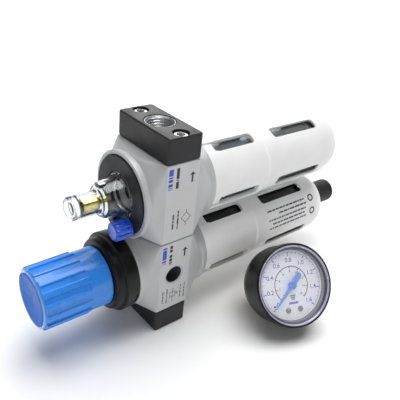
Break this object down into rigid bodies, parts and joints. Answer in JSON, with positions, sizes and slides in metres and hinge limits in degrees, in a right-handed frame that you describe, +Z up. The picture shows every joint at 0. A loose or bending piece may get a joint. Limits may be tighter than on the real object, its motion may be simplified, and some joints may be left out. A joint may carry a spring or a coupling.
{
  "type": "filter regulator lubricator",
  "caption": "Compressed air service unit: filter regulator with blue knob, lubricator with sight dome, slotted bowl guards, port blocks and a loose round pressure gauge.",
  "frame": {"origin": "middle of the whole footprint, on the surface that the inlet block and the loose gauge stand on", "axes": "+Z up along the air flow from inlet to outlet; +X from the regulator knob to the bowls; -Y is the marked front with the gauge port"},
  "size_m": [0.2031, 0.0877, 0.104],
  "materials": {
    "housing_grey": "satin light grey coating on a zinc casting",
    "block_black": "satin black",
    "guard_white": "satin white coating",
    "black_plastic": "fine matt moulded",
    "blue_plastic": "satin blue moulded",
    "pale_blue_plastic": "satin pale blue moulded",
    "clear_plastic": "clear polished",
    "bowl_plastic": "clear, faintly milky",
    "smoked_plastic": "dark smoky, half clear",
    "brass": "machined",
    "steel": "bright machined",
    "rubber": "matt black",
    "white_plastic": "sintered or moulded off white",
    "dial_face": "pale printed dial"
  },
  "bodies": {
    "root": {"inlet_block": "block_black", "outlet_block": "block_black", "inlet_thread_insert": "steel", "outlet_thread_insert": "steel", "inlet_block_screw_front": "steel", "inlet_block_screw_rear": "steel", "outlet_block_screw_front": "steel", "outlet_block_screw_rear": "steel", "regulator_housing": "housing_grey", "rear_port_plug": "steel", "lubricator_housing": "housing_grey", "module_seal": "rubber", "module_stud_front": "steel", "module_stud_rear": "steel", "venturi_insert": "brass", "regulator_collar_nut": "black_plastic", "regulator_bonnet": "black_plastic", "diaphragm": "rubber", "spring_seat_plate": "steel", "setting_spring": "steel", "valve_seat": "brass", "valve_spring": "steel", "valve_cage": "black_plastic", "swirl_ring": "black_plastic", "filter_element": "white_plastic", "baffle": "black_plastic", "filter_tie_rod": "black_plastic", "pickup_tube": "white_plastic", "pickup_strainer": "brass", "lubricator_disc": "black_plastic", "sight_dome": "clear_plastic", "relief_plug": "black_plastic"},
    "spindle": {"adjusting_spindle": "brass"},
    "knob": {"adjusting_knob": "blue_plastic", "knob_end_cap": "pale_blue_plastic"},
    "spring_plate": {"spring_plate": "brass"},
    "valve": {"valve_plug": "brass", "diaphragm_plate": "steel"},
    "filter_bowl": {"filter_bowl": "smoked_plastic", "filter_bowl_seal": "rubber"},
    "filter_guard": {"filter_bowl_guard": "guard_white"},
    "drain": {"drain_knob": "black_plastic", "drain_stem": "black_plastic"},
    "lubricator_bowl": {"lubricator_bowl": "bowl_plastic", "lubricator_bowl_seal": "rubber"},
    "lubricator_guard": {"lubricator_bowl_guard": "guard_white"},
    "drip": {"drip_screw": "brass", "drip_seal": "rubber", "drip_adjuster": "clear_plastic"},
    "filler_seal": {"filler_seal": "rubber"},
    "filler_cap": {"oil_filler_cap": "blue_plastic"},
    "gauge": {"gauge_case": "black_plastic", "gauge_bezel": "black_plastic", "gauge_lens": "clear_plastic", "gauge_dial": "dial_face", "gauge_movement_plate": "brass", "bourdon_tube": "brass", "gauge_stem": "brass"},
    "pointer": {"gauge_pointer": "blue_plastic", "pointer_shaft": "brass"}
  },
  "joints": [
    {"name": "knob_turn", "type": "hinge", "parent": "root", "child": "spindle", "pos_m": [-0.0386, 0.0234, 0.032], "axis": [1, 0, 0], "range_deg": [0, 1620]},
    {"name": "knob_pull", "type": "slide", "parent": "spindle", "child": "knob", "axis": [-1, 0, 0], "range_m": [0, 0.0035]},
    {"name": "spring_plate_travel", "type": "slide", "parent": "root", "child": "spring_plate", "axis": [1, 0, 0], "range_m": [0, 0.0045], "deforming": ["setting_spring"]},
    {"name": "valve_lift", "type": "slide", "parent": "root", "child": "valve", "axis": [1, 0, 0], "range_m": [0, 0.0012], "stiffness_N_per_m": 400, "deforming": ["valve_spring"]},
    {"name": "filter_bowl_pull", "type": "slide", "parent": "root", "child": "filter_bowl", "axis": [1, 0, 0], "range_m": [0, 0.11]},
    {"name": "filter_guard_twist", "type": "hinge", "parent": "filter_bowl", "child": "filter_guard", "pos_m": [-0.0386, 0.0234, 0.032], "axis": [1, 0, 0], "range_deg": [0, 40]},
    {"name": "drain_turn", "type": "hinge", "parent": "filter_bowl", "child": "drain", "pos_m": [-0.0386, 0.0234, 0.032], "axis": [1, 0, 0], "range_deg": [0, 90]},
    {"name": "lubricator_bowl_pull", "type": "slide", "parent": "root", "child": "lubricator_bowl", "axis": [1, 0, 0], "range_m": [0, 0.11]},
    {"name": "lubricator_guard_twist", "type": "hinge", "parent": "lubricator_bowl", "child": "lubricator_guard", "pos_m": [-0.0386, 0.0234, 0.072], "axis": [1, 0, 0], "range_deg": [0, 40]},
    {"name": "drip_rate_turn", "type": "hinge", "parent": "root", "child": "drip", "pos_m": [-0.0386, 0.0234, 0.072], "axis": [1, 0, 0], "range_deg": [0, 540]},
    {"name": "filler_cap_lift", "type": "slide", "parent": "root", "child": "filler_seal", "axis": [-1, 0, 0], "range_m": [0, 0.00375]},
    {"name": "filler_cap_turn", "type": "hinge", "parent": "filler_seal", "child": "filler_cap", "pos_m": [-0.0386, 0.0148, 0.0602], "axis": [-1, 0, 0], "range_deg": [0, 1080]},
    {"name": "gauge_shift", "type": "slide", "parent": "root", "child": "gauge", "axis": [0, -1, 0], "range_m": [0, 0.05]},
    {"name": "pointer_turn", "type": "hinge", "parent": "gauge", "child": "pointer", "pos_m": [0.012, -0.0304, 0.0271], "axis": [0.2637, 0.7658, -0.5866], "range_deg": [0, 270], "stiffness_Nm_per_rad": 0.0005}
  ],
  "couplings": [
    {"joint": "knob_turn", "follows": "spring_plate_travel", "rad_per_m": 6283.2},
    {"joint": "filler_cap_turn", "follows": "filler_cap_lift", "rad_per_m": 5026.5}
  ]
}
